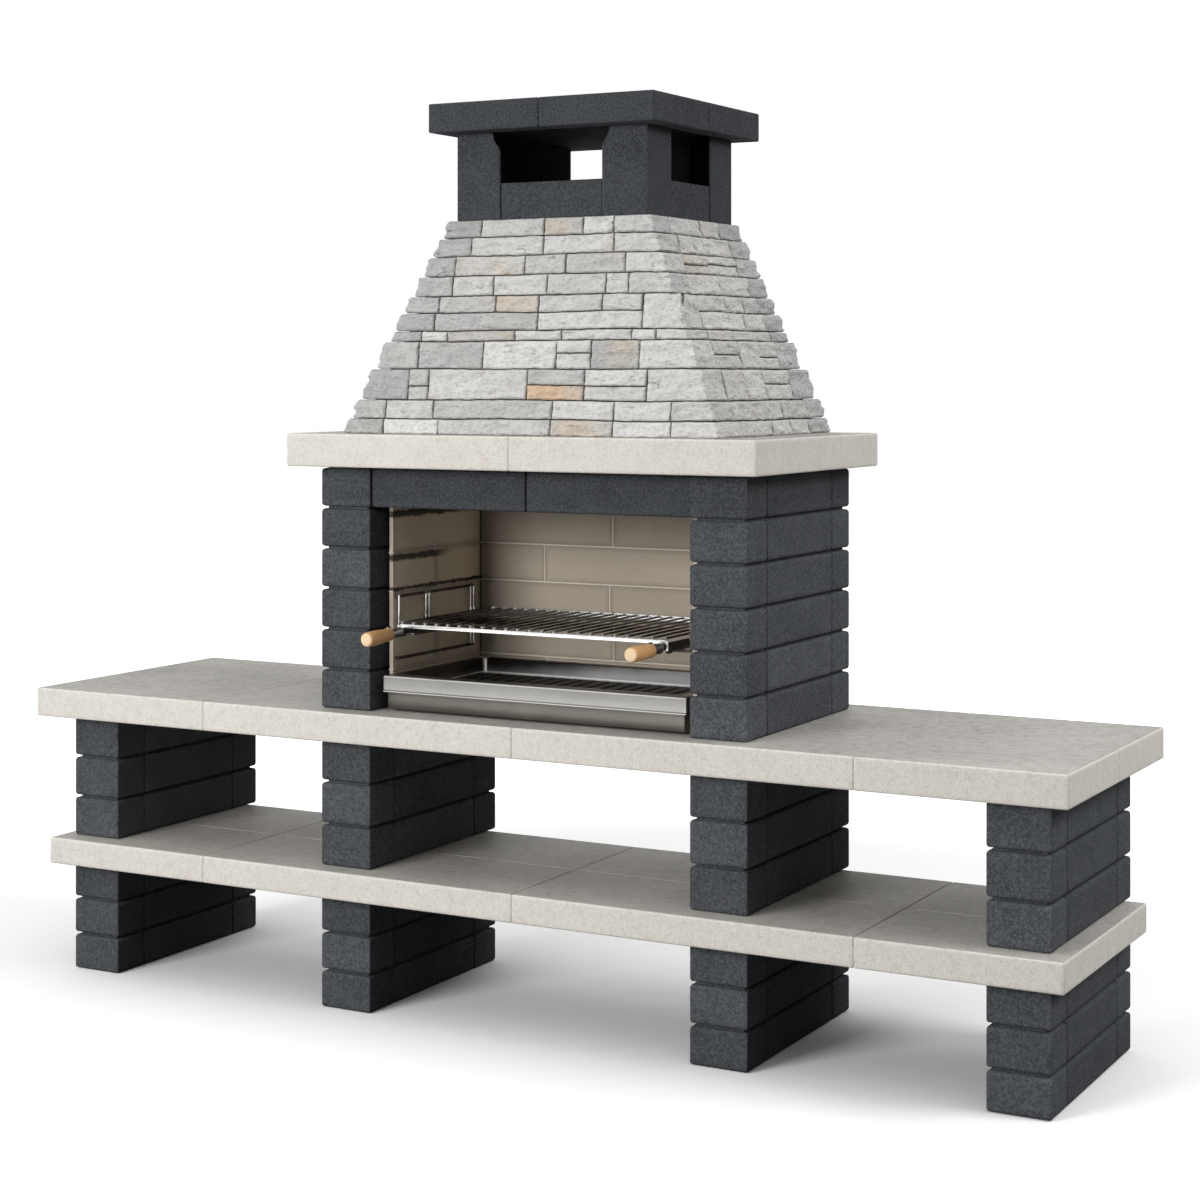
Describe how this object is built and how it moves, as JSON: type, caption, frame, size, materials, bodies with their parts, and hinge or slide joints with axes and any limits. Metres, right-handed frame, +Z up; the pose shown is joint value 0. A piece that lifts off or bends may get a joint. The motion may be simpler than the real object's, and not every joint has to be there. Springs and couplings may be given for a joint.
{
  "type": "masonry barbecue",
  "caption": "Masonry barbecue: two long slabs on block piers, a brick-lined firebox with a pull-out grill and ember tray, a stone-clad hood and a capped chimney.",
  "frame": {"origin": "on the ground, under the middle of the object's plan", "axes": "+X to the right along the front, +Y from front to back, +Z up"},
  "size_m": [3.1, 0.913, 2.475],
  "materials": {
    "anthracite_block": "fine-grained cast concrete, matt",
    "cream_slab": "speckled cast stone, matt",
    "firebrick": "dry pressed firebrick",
    "split_stone": "split stone, rough",
    "hood_concrete": "rough cast concrete",
    "stainless": "brushed",
    "charcoal_steel": "scaled by heat",
    "wire_chrome": "bright",
    "handle_wood": "clear varnish"
  },
  "bodies": {
    "structure": {"pier_1_lower": "anthracite_block", "pier_2_lower": "anthracite_block", "pier_3_lower": "anthracite_block", "pier_4_lower": "anthracite_block", "pier_1_upper": "anthracite_block", "pier_2_upper": "anthracite_block", "pier_3_upper": "anthracite_block", "pier_4_upper": "anthracite_block", "shelf_1_front": "cream_slab", "shelf_2_front": "cream_slab", "shelf_3_front": "cream_slab", "shelf_4_front": "cream_slab", "shelf_1_back": "cream_slab", "shelf_2_back": "cream_slab", "shelf_3_back": "cream_slab", "shelf_4_back": "cream_slab", "worktop_1_front": "cream_slab", "worktop_2_front": "cream_slab", "worktop_3_front": "cream_slab", "worktop_4_front": "cream_slab", "worktop_1_back": "cream_slab", "worktop_2_back": "cream_slab", "worktop_3_back": "cream_slab", "worktop_4_back": "cream_slab", "pillar_left": "anthracite_block", "pillar_right": "anthracite_block", "lintel": "anthracite_block", "rear_wall": "anthracite_block", "lining_left": "firebrick", "lining_right": "firebrick", "lining_back": "firebrick", "mantel_front_left": "cream_slab", "mantel_front_right": "cream_slab", "mantel_back_left": "cream_slab", "mantel_back_right": "cream_slab", "hood_shell": "hood_concrete", "cladding_front": "split_stone", "cladding_back": "split_stone", "cladding_left": "split_stone", "cladding_right": "split_stone", "post_front_left": "anthracite_block", "post_front_right": "anthracite_block", "post_back_left": "anthracite_block", "post_back_right": "anthracite_block", "panel_front": "anthracite_block", "panel_back": "anthracite_block", "panel_left": "anthracite_block", "panel_right": "anthracite_block", "cap_front_left": "anthracite_block", "cap_front_right": "anthracite_block", "cap_back_left": "anthracite_block", "cap_back_right": "anthracite_block", "tray_base": "stainless", "rack_left": "wire_chrome", "rack_right": "wire_chrome"},
    "cooking_grill": {"grill": "wire_chrome", "handle_left": "handle_wood", "handle_right": "handle_wood"},
    "ember_tray_set": {"ember_tray": "stainless", "charcoal_grate": "charcoal_steel"}
  },
  "joints": [
    {"name": "grill_slide", "type": "slide", "parent": "structure", "child": "cooking_grill", "axis": [0, -1, 0], "range_m": [0, 0.62]},
    {"name": "tray_slide", "type": "slide", "parent": "structure", "child": "ember_tray_set", "axis": [0, -1, 0], "range_m": [0, 0.62]}
  ]
}
